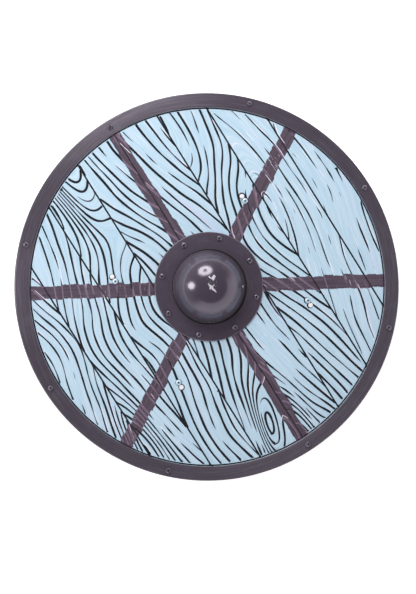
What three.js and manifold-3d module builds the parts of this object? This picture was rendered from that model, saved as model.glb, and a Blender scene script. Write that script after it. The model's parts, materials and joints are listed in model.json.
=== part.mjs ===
// Round wooden shield with a steel rim and boss, lying face up on its two leather arm straps.
// Millimetres, +Z up. The planks run along Y, the centre of the shield is on the Z axis,
// and the undersides of the straps lie at z = 0.
import * as THREE from "three";
import { mergeVertices } from "three/addons/utils/BufferGeometryUtils.js";
import Module from "manifold-3d";

const wasm = await Module();
wasm.setup();

// Boards
const shieldDiameter = 610;
const boardThickness = 12;
const plankWidth = 73.5;
const plankGap = 0.4;
const seamChamfer = 1.3;

// Rim, a U-shaped channel of sheet steel
const rimFrontWidth = 23;
const rimBackWidth = 20;
const rimMetal = 1.8;
const rimCorner = 1.5;
const rimLip = 0.9;
const rimGrooveWidth = 2.6;
const rimGrooveDepth = 1.3;
const rimRivetCount = 8;
const rimRivetInset = 10.3;

// Boss, a raised dome on a flat flange
const bossDiameter = 172;
const domeDiameter = 113;
const domeHeight = 50;
const bossMetal = 1.6;
const domeFillet = 1.5;
const bossEdge = 0.6;
const bossRivetCount = 8;
const bossRivetInset = 9.4;

// Rivets
const rivetHead = { diameter: 9, height: 2.2, dimple: 2.8, dimpleDepth: 0.7 };
const platedHead = { diameter: 7.6, height: 1, dimple: 0, dimpleDepth: 0 };
const shankDiameter = 4;
const tailDiameter = 7;
const tailHeight = 1.4;
const countersinkDepth = 1.1;

// Arm straps
const strapWidth = 32;
const strapThickness = 3.5;
const strapFromSeam = 47.5;
const strapShift = -8.7;
const strapRivetSpan = 203.6;
const strapRivetPitch = 8.6;
const strapEndMargin = 10;
const strapPadMargin = 12;
const strapStandOff = 30;
const strapBend = 18;
const strapSlope = Math.PI / 4;
const strapCorner = 7;

// Carved grain. Each plank's face has a field, and a line is cut wherever it is a whole number.
// lines: how many run side by side. drift: [along, across] pairs that they follow. knots: [across, along,
// half width, half length, lean, strength in lines]. Across is in plank widths, along in shield radii.
// Each side's planks are listed from the centre seam outwards.
const grainCutWidth = 2.4;
const grainCutDepth = 1.2;
const grainCutStep = 180;
const grainCutTurn = 0.75;
const shortestCut = 80;
const grainRimMargin = 1;
const leftGrain = [
  {
    lines: 5.6, phase: 0.4,
    drift: [[-1, -0.2], [-0.6, 0], [-0.3, 0.4], [0, 0.6], [0.3, 0.5], [0.6, -0.1], [0.85, -0.35], [1, -0.4]],
    knots: [[0.5, -0.78, 0.24, 0.19, 0.2, 4.4]],
  },
  {
    lines: 5.4, phase: 0,
    drift: [[-0.95, 0.1], [-0.7, -0.05], [-0.4, 0.12], [-0.15, 0.22], [0.05, 0], [0.25, 0.3], [0.5, 0.85],
      [0.75, 0.95], [1, 0.7]],
    knots: [[0.74, 0.98, 0.4, 0.4, 0, 7], [1.1, 0.45, 0.5, 0.25, 0, -1.2]],
  },
  {
    lines: 5.6, phase: 0.3,
    drift: [[-0.85, 0.62], [-0.5, 0.3], [-0.2, 0.08], [0, 0], [0.25, 0.3], [0.5, 0.72], [0.8, 0.95]],
    knots: [[0, -0.5, 0.4, 0.3, 0, -3.6]],
  },
  {
    lines: 6, phase: 0.1,
    drift: [[-0.8, -0.5], [-0.45, -0.34], [-0.15, -0.1], [0.12, 0.16], [0.35, -0.05], [0.6, -0.35]],
    knots: [[1.02, -0.5, 0.3, 0.24, 0, 3.4], [0.08, 0.1, 0.12, 0.1, 0, -1.2]],
  },
];
const rightGrain = [
  {
    lines: 5.2, phase: 0.2,
    drift: [[-1, 1], [-0.75, 0.5], [-0.4, 0.1], [0, 0], [0.3, -0.25], [0.6, -0.75], [0.9, -1]],
    knots: [[0.1, -0.85, 0.3, 0.25, 0, -3]],
  },
  {
    lines: 5.4, phase: 0,
    drift: [[-0.9, 1.3], [-0.5, 0.9], [-0.2, 0.4], [0.1, 0], [0.3, 0.2], [0.6, 0.85], [0.9, 1.1]],
    knots: [],
  },
  {
    lines: 4.6, phase: 0.5,
    drift: [[-0.8, -0.6], [-0.4, -0.25], [0, 0.1], [0.3, 0.1], [0.6, -0.1], [0.9, -0.3]],
    knots: [[0.12, 0.22, 0.3, 0.34, 0.1, -3.6]],
  },
  {
    lines: 5, phase: 0.3,
    drift: [[-0.6, -0.5], [-0.2, -0.1], [0.2, 0.2], [0.5, 0.1]],
    knots: [],
  },
];

// Fits
const seatGap = 0.3;
const holeClearance = 0.3;

// Fineness of round forms
const rimSegments = 44;
const bossSegments = 32;
const domeSteps = 7;
const hollowSteps = 5;
const rivetSegments = 6;
const bendSteps = 3;
const grainColumns = 24;
const grainRows = 120;
const grainKeep = 3;
const through = 5;

const shieldRadius = shieldDiameter / 2;
const boardRadius = shieldRadius - rimMetal - seatGap;
const rimInnerRadius = shieldRadius - rimFrontWidth;
const boardBack = strapStandOff;
const boardFront = boardBack + boardThickness;
const rimRivetRadius = shieldRadius - rimRivetInset;
const bossRivetRadius = bossDiameter / 2 - bossRivetInset;
const plateBottom = boardFront + seatGap;
const seamsPerSide = Math.floor((boardRadius - plankWidth / 2) / plankWidth);
const strapX = plankWidth + strapFromSeam;

const boardPaint = new THREE.MeshStandardMaterial({ color: 0xb9d6e8, roughness: 0.6, metalness: 0 });
const darkSteel = new THREE.MeshStandardMaterial({ color: 0x5a5361, roughness: 0.45, metalness: 0.4 });
const platedSteel = new THREE.MeshStandardMaterial({ color: 0xe8e8ea, roughness: 0.2, metalness: 1 });
const strapLeather = new THREE.MeshStandardMaterial({ color: 0x4a3225, roughness: 0.7, metalness: 0 });

function toSolid(geometry) {
  const bare = geometry.clone();
  bare.deleteAttribute("normal");
  bare.deleteAttribute("uv");
  const merged = mergeVertices(bare, 1e-4);
  return new wasm.Manifold(new wasm.Mesh({
    numProp: 3,
    vertProperties: Float32Array.from(merged.attributes.position.array),
    triVerts: Uint32Array.from(merged.index.array),
  }));
}

function toGeometry(solid) {
  const mesh = solid.getMesh();
  const geometry = new THREE.BufferGeometry();
  geometry.setAttribute("position", new THREE.BufferAttribute(Float32Array.from(mesh.vertProperties), 3));
  geometry.setIndex(new THREE.BufferAttribute(Uint32Array.from(mesh.triVerts), 1));
  geometry.computeVertexNormals();
  return geometry;
}

// A profile of [radius, z] pairs turned about the Z axis
function turned(profile, segments) {
  const points = profile.map(([radius, z]) => new THREE.Vector2(radius, z));
  return new THREE.LatheGeometry(points, segments).rotateX(Math.PI / 2);
}

function pin(diameter, bottom, top, x = 0, y = 0) {
  const length = top - bottom;
  return new THREE.CylinderGeometry(diameter / 2, diameter / 2, length, rivetSegments)
    .rotateX(Math.PI / 2)
    .translate(x, y, bottom + length / 2);
}

// Points of an arc about a centre, both ends included
function arc(centreX, centreY, radius, from, to, steps) {
  return Array.from({ length: steps + 1 }, (_, i) => {
    const angle = from + ((to - from) * i) / steps;
    return [centreX + radius * Math.cos(angle), centreY + radius * Math.sin(angle)];
  });
}

function ringPlaces(count, radius) {
  return Array.from({ length: count }, (_, i) => {
    const angle = (i * 2 * Math.PI) / count;
    return [radius * Math.cos(angle), radius * Math.sin(angle)];
  });
}

// Where each strap is fastened: the plated rivets outside, the painted ones next to them
const strapPlaces = [-1, 1].flatMap((side) => [-1, 1].map((end) => ({
  x: side * strapX,
  plated: strapShift + (end * strapRivetSpan) / 2,
  painted: strapShift + end * (strapRivetSpan / 2 - strapRivetPitch),
})));

const holeDiameter = shankDiameter + 2 * holeClearance;
const countersinkDiameter = platedHead.diameter + 4 * holeClearance;

// A rivet from the surface its head sits on down to the surface its tail is closed against
function makeRivet(head, headSeat, tailSeat) {
  const seat = headSeat + seatGap;
  const tail = tailSeat - seatGap;
  const radius = head.diameter / 2;
  const top = seat + head.height;
  const crown = head.dimple > 0
    ? [[head.dimple / 2, top], [0, top - head.dimpleDepth]]
    : [[radius * 0.6, top], [0, top]];
  return turned([
    [0, tail - tailHeight],
    [tailDiameter / 2, tail],
    [shankDiameter / 2, tail],
    [shankDiameter / 2, seat],
    [radius, seat],
    [radius * 0.8, seat + head.height * 0.7],
    ...crown,
  ], rivetSegments);
}

function makeRim() {
  const top = plateBottom + rimMetal;
  const backTop = boardBack - seatGap;
  const bottom = backTop - rimMetal;
  const channel = turned([
    [shieldRadius - rimBackWidth, bottom],
    [shieldRadius - rimCorner, bottom],
    [shieldRadius, bottom + rimCorner],
    [shieldRadius, top - rimCorner],
    [shieldRadius - rimCorner, top],
    [rimInnerRadius + rimLip, top],
    [rimInnerRadius, top - rimLip],
    [rimInnerRadius, plateBottom],
    [shieldRadius - rimMetal, plateBottom],
    [shieldRadius - rimMetal, backTop],
    [shieldRadius - rimBackWidth, backTop],
    [shieldRadius - rimBackWidth, bottom],
  ], rimSegments);
  return ringPlaces(rimRivetCount, rimRivetRadius).reduce(
    (body, [x, y]) => body.subtract(toSolid(pin(holeDiameter, bottom - through, top + through, x, y))),
    toSolid(channel),
  );
}

function makeBoss() {
  const flangeTop = plateBottom + bossMetal;
  const bossRadius = bossDiameter / 2;
  const baseRadius = domeDiameter / 2;
  const sphere = (baseRadius ** 2 + domeHeight ** 2) / (2 * domeHeight);
  const centre = flangeTop + domeHeight - sphere;
  const filletHeight = flangeTop + domeFillet - centre;
  const filletRadius = Math.sqrt((sphere + domeFillet) ** 2 - filletHeight ** 2);
  const shoulder = Math.atan2(filletHeight, filletRadius);
  const inner = sphere - bossMetal;
  const innerStart = Math.asin((plateBottom - centre) / inner);
  const up = Math.PI / 2;
  const shell = turned([
    ...arc(0, centre, inner, up, innerStart, hollowSteps),
    [bossRadius, plateBottom],
    [bossRadius, flangeTop - bossEdge],
    [bossRadius - bossEdge, flangeTop],
    ...arc(filletRadius, flangeTop + domeFillet, domeFillet, -up, -Math.PI + shoulder, 2),
    ...arc(0, centre, sphere, shoulder, up, domeSteps).slice(1),
  ].map(([radius, z]) => [Math.abs(radius) < 1e-6 ? 0 : radius, z]), bossSegments);
  return ringPlaces(bossRivetCount, bossRivetRadius).reduce(
    (body, [x, y]) => body.subtract(
      toSolid(pin(holeDiameter, plateBottom - through, flangeTop + through, x, y))),
    toSolid(shell),
  );
}

// One strap's side outline: flat on the back of the board at both ends, and pressed flat below
function makeStrap(x) {
  const half = strapThickness / 2;
  const padZ = boardBack - seatGap - half;
  const padEnd = strapRivetSpan / 2 + strapEndMargin;
  const padStart = strapRivetSpan / 2 - strapRivetPitch - strapPadMargin;
  const bendDrop = strapBend * (1 - Math.cos(strapSlope));
  const slopeDrop = padZ - half - 2 * bendDrop;
  const slopeRun = slopeDrop / Math.tan(strapSlope);
  const bendRun = strapBend * Math.sin(strapSlope);
  const lowY = padStart - 2 * bendRun - slopeRun;
  const side = (offset) => [
    [padEnd, padZ + offset],
    ...arc(padStart, padZ - strapBend, strapBend + offset, Math.PI / 2, Math.PI / 2 + strapSlope, bendSteps),
    ...arc(lowY, half + strapBend, strapBend - offset, -Math.PI / 2 + strapSlope, -Math.PI / 2, bendSteps),
  ];
  const mirrored = (points) => points.map(([y, z]) => [-y, z]).reverse();
  const upper = side(half);
  const lower = side(-half);
  const outline = [...upper, ...mirrored(upper), ...mirrored(lower).reverse(), ...[...lower].reverse()];
  const shape = new THREE.Shape(outline.map(([y, z]) => new THREE.Vector2(y, z)));
  const band = new THREE.ExtrudeGeometry(shape, { depth: strapWidth, bevelEnabled: false })
    .applyMatrix4(new THREE.Matrix4().makeBasis(
      new THREE.Vector3(0, 1, 0), new THREE.Vector3(0, 0, 1), new THREE.Vector3(1, 0, 0)))
    .translate(x - strapWidth / 2, strapShift, 0);
  const plan = new THREE.Shape();
  const w = strapWidth / 2;
  plan.moveTo(-w + strapCorner, -padEnd);
  plan.absarc(w - strapCorner, -padEnd + strapCorner, strapCorner, -Math.PI / 2, 0);
  plan.absarc(w - strapCorner, padEnd - strapCorner, strapCorner, 0, Math.PI / 2);
  plan.absarc(-w + strapCorner, padEnd - strapCorner, strapCorner, Math.PI / 2, Math.PI);
  plan.absarc(-w + strapCorner, -padEnd + strapCorner, strapCorner, Math.PI, 1.5 * Math.PI);
  const planDepth = { depth: boardFront + through, bevelEnabled: false, curveSegments: 2 };
  const planPrism = new THREE.ExtrudeGeometry(plan, planDepth)
    .translate(x, strapShift, -through);
  const holes = strapPlaces
    .filter((place) => place.x === x)
    .flatMap((place) => [place.plated, place.painted]);
  return holes.reduce(
    (body, y) => body.subtract(
      toSolid(pin(holeDiameter, padZ - half - through, padZ + half + through, x, y))),
    toSolid(band).intersect(toSolid(planPrism)),
  );
}

// The disc that the planks are cut from, with the groove beside the rim and every rivet's hole
function makeBoard() {
  const grooveInner = rimInnerRadius - rimGrooveWidth;
  const disc = turned([
    [0, boardBack],
    [boardRadius, boardBack],
    [boardRadius, boardFront],
    [rimInnerRadius, boardFront],
    [(rimInnerRadius + grooveInner) / 2, boardFront - rimGrooveDepth],
    [grooveInner, boardFront],
    [0, boardFront],
  ], rimSegments);
  const below = boardBack - through;
  const above = boardFront + through;
  const places = [
    ...ringPlaces(rimRivetCount, rimRivetRadius),
    ...ringPlaces(bossRivetCount, bossRivetRadius),
    ...strapPlaces.flatMap(({ x, plated, painted }) => [[x, plated], [x, painted]]),
  ];
  const drilled = places.reduce(
    (body, [x, y]) => body.subtract(toSolid(pin(holeDiameter, below, above, x, y))),
    toSolid(disc),
  );
  return strapPlaces.reduce(
    (body, { x, plated }) => body.subtract(
      toSolid(pin(countersinkDiameter, boardFront - countersinkDepth, above, x, plated))),
    drilled,
  );
}

// A plank's end view between two seams, with its front long edges chamfered
function makePlankStrip(left, right, chamferLeft, chamferRight) {
  const low = boardBack - through;
  const high = boardFront + through;
  const edge = boardFront - seamChamfer;
  const shape = new THREE.Shape([
    [left, low],
    [right, low],
    ...(chamferRight
      ? [[right, edge], [right - seamChamfer, boardFront], [right - seamChamfer, high]]
      : [[right, high]]),
    ...(chamferLeft
      ? [[left + seamChamfer, high], [left + seamChamfer, boardFront], [left, edge]]
      : [[left, high]]),
  ].map(([x, z]) => new THREE.Vector2(x, z)));
  return new THREE.ExtrudeGeometry(shape, { depth: shieldDiameter, bevelEnabled: false })
    .rotateX(Math.PI / 2)
    .translate(0, shieldRadius, 0);
}

// A smooth curve through [place, value] pairs, level beyond the first and the last
function followPairs(pairs, place) {
  const last = pairs.length - 1;
  const at = Math.min(Math.max(place, pairs[0][0]), pairs[last][0]);
  const slope = (i) => {
    const before = i > 0 ? (pairs[i][1] - pairs[i - 1][1]) / (pairs[i][0] - pairs[i - 1][0]) : null;
    const after = i < last ? (pairs[i + 1][1] - pairs[i][1]) / (pairs[i + 1][0] - pairs[i][0]) : null;
    if (before === null || after === null) return before ?? after;
    const share = (pairs[i][0] - pairs[i - 1][0]) / (pairs[i + 1][0] - pairs[i - 1][0]);
    return after * share + before * (1 - share);
  };
  let k = 0;
  while (k < last - 1 && at > pairs[k + 1][0]) k += 1;
  const step = pairs[k + 1][0] - pairs[k][0];
  const t = (at - pairs[k][0]) / step;
  const rise = 2 * t ** 3 - 3 * t ** 2 + 1;
  return rise * pairs[k][1] + (1 - rise) * pairs[k + 1][1]
    + (t ** 3 - 2 * t ** 2 + t) * step * slope(k) + (t ** 3 - t ** 2) * step * slope(k + 1);
}

// A plank's grain field at a share of its width and of the shield's radius
function grainAt(grain, across, along) {
  const knots = grain.knots.map(([x, y, halfWidth, halfLength, lean, strength]) => {
    const dy = (along - y) / halfLength;
    const dx = (across - x - lean * dy) / halfWidth;
    return strength * Math.exp(-(dx * dx + dy * dy));
  });
  const waver = [0, 1, 2, 3].map((k) => 0.16 * Math.sin(
    (4 + 1.7 * k) * across + (12 - 2.3 * k) * along + 6 * grain.lines + 10 * grain.phase + 2 * k));
  return [...knots, ...waver].reduce(
    (sum, value) => sum + value,
    grain.lines * (across - followPairs(grain.drift, along)) + grain.phase,
  );
}

// Chains of [x, y] points where a grid of values passes through whole numbers
function wholeLines(values, xs, ys) {
  const chains = [];
  const all = values.flat();
  for (let level = Math.floor(Math.min(...all)); level <= Math.max(...all); level += 1) {
    const places = new Map();
    const links = new Map();
    const crossing = (i, j, nextI, nextJ) => {
      const [a, b] = [values[j][i], values[nextJ][nextI]];
      if ((a > level) === (b > level)) return [];
      const key = [i, j, nextI, nextJ].join();
      const t = (level - a) / (b - a);
      places.set(key, [xs[i] + t * (xs[nextI] - xs[i]), ys[j] + t * (ys[nextJ] - ys[j])]);
      return [key];
    };
    for (let j = 0; j < ys.length - 1; j += 1) {
      for (let i = 0; i < xs.length - 1; i += 1) {
        const keys = [
          ...crossing(i, j, i + 1, j),
          ...crossing(i + 1, j, i + 1, j + 1),
          ...crossing(i, j + 1, i + 1, j + 1),
          ...crossing(i, j, i, j + 1),
        ];
        for (let k = 0; k + 1 < keys.length; k += 2) {
          links.set(keys[k], [...(links.get(keys[k]) ?? []), keys[k + 1]]);
          links.set(keys[k + 1], [...(links.get(keys[k + 1]) ?? []), keys[k]]);
        }
      }
    }
    const unused = new Set(links.keys());
    const ends = [...links.keys()].filter((key) => links.get(key).length === 1);
    for (const start of [...ends, ...links.keys()]) {
      const chain = [];
      for (let key = start; key !== undefined && unused.has(key);
        key = links.get(key).find((next) => unused.has(next))) {
        unused.delete(key);
        chain.push(places.get(key));
      }
      if (chain.length > 1) chains.push(chain);
    }
  }
  return chains;
}

// A V-shaped cut along a line on the boards' front
function makeGrainCut(line) {
  const path = new THREE.CatmullRomCurve3(line.map(([x, y]) => new THREE.Vector3(x, y, boardFront)));
  const tangents = line.slice(1).map(([x, y], i) => Math.atan2(y - line[i][1], x - line[i][0]));
  const turning = tangents.slice(1).reduce(
    (sum, angle, i) => sum + Math.abs(Math.sin((angle - tangents[i]) / 2) * 2), 0);
  const steps = Math.max(2, Math.round(path.getLength() / grainCutStep + turning / grainCutTurn));
  const above = 1;
  const half = (grainCutWidth / 2) * (1 + above / grainCutDepth);
  const section = new THREE.Shape([
    new THREE.Vector2(-above, -half),
    new THREE.Vector2(-above, half),
    new THREE.Vector2(grainCutDepth, 0),
  ]);
  return toSolid(new THREE.ExtrudeGeometry(section, { steps, extrudePath: path }));
}

// The cuts of one plank between two seams, from the boss to the rim
function makeGrainCuts(grain, left, right) {
  const xs = Array.from({ length: grainColumns + 1 }, (_, i) => left + ((right - left) * i) / grainColumns);
  const ys = Array.from({ length: grainRows + 1 }, (_, i) => shieldRadius * ((2 * i) / grainRows - 1));
  const values = ys.map((y) => xs.map((x) => grainAt(grain, (x - left) / plankWidth, y / shieldRadius)));
  const outerLimit = rimInnerRadius - rimGrooveWidth - grainRimMargin;
  const innerLimit = bossDiameter / 2;
  const cuts = [];
  for (const chain of wholeLines(values, xs, ys)) {
    let run = [];
    for (const point of [...chain, null]) {
      const radius = point && Math.hypot(...point);
      if (point && radius < outerLimit && radius > innerLimit) {
        run.push(point);
      } else {
        const length = run.slice(1).reduce(
          (sum, [x, y], i) => sum + Math.hypot(x - run[i][0], y - run[i][1]), 0);
        const kept = run.filter((_, i) => i % grainKeep === 0 || i === run.length - 1);
        if (length > shortestCut) cuts.push(makeGrainCut(kept));
        run = [];
      }
    }
  }
  return cuts;
}

const group = new THREE.Group();

function addPart(name, geometry, material) {
  const mesh = new THREE.Mesh(geometry, material);
  mesh.name = name;
  group.add(mesh);
  return mesh;
}

// Planks are counted from the centre seam outwards, and the last one on each side is cut to the round
const board = makeBoard();
for (let i = 1; i <= seamsPerSide + 1; i += 1) {
  const outermost = i > seamsPerSide;
  const inner = (i - 1) * plankWidth + plankGap / 2;
  const outer = outermost ? shieldRadius : i * plankWidth - plankGap / 2;
  const leftStrip = toSolid(makePlankStrip(-outer, -inner, !outermost, true));
  const rightStrip = toSolid(makePlankStrip(inner, outer, true, !outermost));
  const carve = (strip, grains, left) => toGeometry(
    makeGrainCuts(grains[(i - 1) % grains.length], left, left + plankWidth)
      .reduce((plank, cut) => plank.subtract(cut), board.intersect(strip)));
  addPart(`plank_left_${i}`, carve(leftStrip, leftGrain, -i * plankWidth), boardPaint);
  addPart(`plank_right_${i}`, carve(rightStrip, rightGrain, (i - 1) * plankWidth), boardPaint);
}

addPart("rim", toGeometry(makeRim()), darkSteel);
addPart("boss", toGeometry(makeBoss()), darkSteel);

ringPlaces(rimRivetCount, rimRivetRadius).forEach(([x, y], i) => {
  const rivet = makeRivet(rivetHead, plateBottom + rimMetal, boardBack - seatGap - rimMetal);
  addPart(`rim_rivet_${i + 1}`, rivet, darkSteel).position.set(x, y, 0);
});

ringPlaces(bossRivetCount, bossRivetRadius).forEach(([x, y], i) => {
  const rivet = makeRivet(rivetHead, plateBottom + bossMetal, boardBack);
  addPart(`boss_rivet_${i + 1}`, rivet, darkSteel).position.set(x, y, 0);
});

strapPlaces.forEach(({ x, plated, painted }, i) => {
  const strapBack = boardBack - seatGap - strapThickness;
  const paintedRivet = makeRivet(rivetHead, boardFront, strapBack);
  const platedRivet = makeRivet(platedHead, boardFront - countersinkDepth, strapBack);
  addPart(`strap_rivet_${i + 1}`, paintedRivet, boardPaint).position.set(x, painted, 0);
  addPart(`plated_rivet_${i + 1}`, platedRivet, platedSteel).position.set(x, plated, 0);
});

addPart("arm_strap_left", toGeometry(makeStrap(-strapX)), strapLeather);
addPart("arm_strap_right", toGeometry(makeStrap(strapX)), strapLeather);

export default group;
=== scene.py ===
import json
import math

import bmesh
import bpy
import numpy as np
from mathutils import Matrix, Vector, noise
from mathutils.geometry import delaunay_2d_cdt
from mathutils.kdtree import KDTree

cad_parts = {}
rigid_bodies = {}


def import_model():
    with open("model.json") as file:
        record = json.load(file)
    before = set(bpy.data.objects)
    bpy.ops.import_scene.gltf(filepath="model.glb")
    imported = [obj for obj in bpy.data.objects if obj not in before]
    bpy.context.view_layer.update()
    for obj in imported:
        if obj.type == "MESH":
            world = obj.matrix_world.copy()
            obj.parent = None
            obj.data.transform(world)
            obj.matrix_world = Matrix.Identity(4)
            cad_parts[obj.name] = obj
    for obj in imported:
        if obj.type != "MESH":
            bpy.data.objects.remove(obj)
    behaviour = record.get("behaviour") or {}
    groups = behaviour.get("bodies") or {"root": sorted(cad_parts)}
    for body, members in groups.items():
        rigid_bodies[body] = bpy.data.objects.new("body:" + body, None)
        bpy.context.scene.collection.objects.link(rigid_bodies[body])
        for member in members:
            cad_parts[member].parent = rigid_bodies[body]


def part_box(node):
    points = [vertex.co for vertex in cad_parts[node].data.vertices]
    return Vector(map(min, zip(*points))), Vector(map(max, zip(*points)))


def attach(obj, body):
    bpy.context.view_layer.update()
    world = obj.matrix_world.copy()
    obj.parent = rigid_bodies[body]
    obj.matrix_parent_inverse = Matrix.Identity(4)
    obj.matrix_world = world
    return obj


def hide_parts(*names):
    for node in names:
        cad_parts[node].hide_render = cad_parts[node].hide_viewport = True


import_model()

mm = 0.001
scene = bpy.context.scene
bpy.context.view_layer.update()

plankNames = [f"plank_left_{i}" for i in (4, 3, 2, 1)] + [f"plank_right_{i}" for i in (1, 2, 3, 4)]
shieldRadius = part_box("rim")[1].x
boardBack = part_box("plank_right_1")[0].z
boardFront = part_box("plank_right_1")[1].z
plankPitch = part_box("plank_right_2")[0].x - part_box("plank_right_1")[0].x
laidOn = 0.02 * mm  # plates lie this far off the boards, so that no two faces share a plane
headRadius = 4.5 * mm  # of every rivet but the plated ones


def shade(*colour):  # screen colour, 0 to 255, to linear
    return tuple(((c / 255 + 0.055) / 1.055) ** 2.4 if c > 10 else c / 255 / 12.92 for c in colour)


def centreOf(node):
    low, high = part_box(node)
    return (low + high) / 2


# Nodes

class Wire:  # a socket that can stand in a sum: each operator adds its Math node
    def __init__(self, desk, socket):
        self.desk = desk
        self.socket = socket

    def maths(self, operation, *others):
        return self.desk.maths(operation, self, *others)

    def __add__(self, other):
        return self.maths("ADD", other)

    def __sub__(self, other):
        return self.maths("SUBTRACT", other)

    def __rsub__(self, other):
        return self.desk.maths("SUBTRACT", other, self)

    def __mul__(self, other):
        return self.maths("MULTIPLY", other)

    def __truediv__(self, other):
        return self.maths("DIVIDE", other)

    def __pow__(self, other):
        return self.maths("POWER", other)

    __radd__ = __add__
    __rmul__ = __mul__

    def abs(self):
        return self.maths("ABSOLUTE")

    def rounded(self):
        return self.maths("ROUND")

    def larger(self, other):
        return self.maths("MAXIMUM", other)

    def clamped(self):
        return self.desk.node("Clamp", {}, {"Value": self})

    def smooth(self, low, high):  # 0 at low, 1 at high
        return self.desk.node("MapRange", {"interpolation_type": "SMOOTHSTEP"},
                              {"Value": self, "From Min": low, "From Max": high})


class Desk:  # one node tree, and the one method that makes its nodes
    def __init__(self, tree, prefix="ShaderNode"):
        self.tree = tree
        self.prefix = prefix
        tree.nodes.clear()

    def node(self, kind, settings=None, inputs=None, output=0):
        named = kind.startswith(("ShaderNode", "FunctionNode", "NodeGroup"))
        made = self.tree.nodes.new(kind if named else self.prefix + kind)
        for name, value in (settings or {}).items():
            setattr(made, name, value)
        for name, value in (inputs or {}).items():
            socket = made.inputs[name]
            if isinstance(value, Wire):
                self.tree.links.new(value.socket, socket)
            elif socket.type == "RGBA":
                socket.default_value = (*value, 1)
            else:
                socket.default_value = value
        return Wire(self, made.outputs[output]) if made.outputs else None

    def maths(self, operation, *values):
        return self.node("ShaderNodeMath", {"operation": operation}, dict(enumerate(values)))

    def vector(self, x, y, z):
        return self.node("ShaderNodeCombineXYZ", {}, {0: x, 1: y, 2: z})

    def split(self, vector):
        first = self.node("ShaderNodeSeparateXYZ", {}, {0: vector})
        return [Wire(self, socket) for socket in first.socket.node.outputs]

    def noise(self, scale, at, detail=2.0, roughness=0.5, distortion=0.0):
        return self.node("TexNoise", {}, {"Vector": at, "Scale": scale, "Detail": detail,
                                          "Roughness": roughness, "Distortion": distortion})

    def stretched(self, x, y, z, **looks):  # noise with each direction at its own scale
        return self.noise(1, self.vector(x, y, z), **looks)

    def mix(self, factor, a, b):
        return self.node("Mix", {"data_type": "RGBA"}, {0: factor, 6: a, 7: b}, 2)

    def attribute(self, name):
        return self.node("Attribute", {"attribute_name": name}, {}, "Fac")

    def bump(self, height, strength, distance, under=None):
        inputs = {"Height": height, "Strength": strength, "Distance": distance}
        return self.node("Bump", {}, inputs | ({"Normal": under} if under else {}))


class Finish(Desk):  # a material around one Principled shader
    def __init__(self, name, **constants):
        self.material = bpy.data.materials.new(name)
        self.material.use_nodes = True
        super().__init__(self.material.node_tree)
        fixed = {key.replace("_", " "): value for key, value in constants.items()}
        shader = self.node("BsdfPrincipled", {}, fixed)
        self.sockets = shader.socket.node.inputs
        self.node("OutputMaterial", {}, {"Surface": shader})
        self.place = self.node("TexCoord", {}, {}, "Object")

    def feed(self, name, wire):
        self.tree.links.new(wire.socket, self.sockets[name])

    def dress(self, colour, roughness, normal):
        self.feed("Base Color", colour)
        self.feed("Roughness", roughness)
        self.feed("Normal", normal)


def growTree(name, inputs):  # a Geometry Nodes tree with named inputs
    tree = bpy.data.node_groups.new(name, "GeometryNodeTree")
    tree.interface.new_socket("Geometry", in_out="INPUT", socket_type="NodeSocketGeometry")
    tree.interface.new_socket("Geometry", in_out="OUTPUT", socket_type="NodeSocketGeometry")
    ids = {}
    for label, kind in inputs.items():
        socket = tree.interface.new_socket(label, in_out="INPUT", socket_type="NodeSocket" + kind)
        ids[label] = socket.identifier
    desk = Desk(tree, "GeometryNode")
    first = desk.node("NodeGroupInput")
    given = {socket.name: Wire(desk, socket) for socket in first.socket.node.outputs if socket.name}
    return desk, given, ids


def endTree(desk, instances, finish):
    solid = desk.node("RealizeInstances", {}, {"Geometry": instances})
    done = desk.node("SetMaterial", {}, {"Geometry": solid, "Material": finish})
    desk.node("NodeGroupOutput", {}, {"Geometry": done})


def grow(name, base, tree, ids, values, finish):  # the tree's result on a base mesh, as a plain mesh
    holder = addPiece(name + "_base", base)
    modifier = holder.modifiers.new("grow", "NODES")
    modifier.node_group = tree
    for label, value in values.items():
        modifier[ids[label]] = value
    depsgraph = bpy.context.evaluated_depsgraph_get()
    mesh = bpy.data.meshes.new_from_object(holder.evaluated_get(depsgraph), depsgraph=depsgraph)
    bpy.data.objects.remove(holder)
    mesh.materials.clear()
    mesh.materials.append(finish.material)
    return addPiece(name, mesh)


# Meshes

def addPiece(name, mesh):
    piece = bpy.data.objects.new(name, mesh)
    mesh.name = name
    scene.collection.objects.link(piece)
    return piece


def newMesh(name, points, faces, finish, sharpFrom=35):
    mesh = bpy.data.meshes.new(name)
    mesh.from_pydata(points, [], faces)
    mesh.materials.append(finish.material)
    shell = bmesh.new()
    shell.from_mesh(mesh)
    bmesh.ops.recalc_face_normals(shell, faces=shell.faces)
    shell.to_mesh(mesh)
    shell.free()
    mesh.shade_smooth()
    mesh.set_sharp_from_angle(angle=math.radians(sharpFrom))
    return mesh


def settle(piece, slot, *nodes):  # rides on the shield, stands for its CAD nodes
    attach(piece, "root")
    if nodes:
        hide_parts(*nodes)


def roundCorners(corners, steps=4, closed=True):  # corners are (radius, height, rounding)
    points = []
    for i, (x, y, rounding) in enumerate(corners):
        here = Vector((x, y))
        if not rounding or (not closed and i in (0, len(corners) - 1)):
            points.append((x, y))
            continue
        toBefore = (Vector(corners[i - 1][:2]) - here).normalized()
        toAfter = (Vector(corners[(i + 1) % len(corners)][:2]) - here).normalized()
        half = toBefore.angle(toAfter) / 2
        centre = here + (toBefore + toAfter).normalized() * rounding / math.sin(half)
        start = (here + toBefore * rounding / math.tan(half) - centre).normalized()
        end = (here + toAfter * rounding / math.tan(half) - centre).normalized()
        points += [tuple(centre + start.slerp(end, k / steps) * rounding) for k in range(steps + 1)]
    return points


def arc(x, y, radius, start, end, count):  # points about (x, y), both ends among them
    return [(x + radius * math.cos(a), y + radius * math.sin(a)) for a in np.linspace(start, end, count)]


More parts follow.
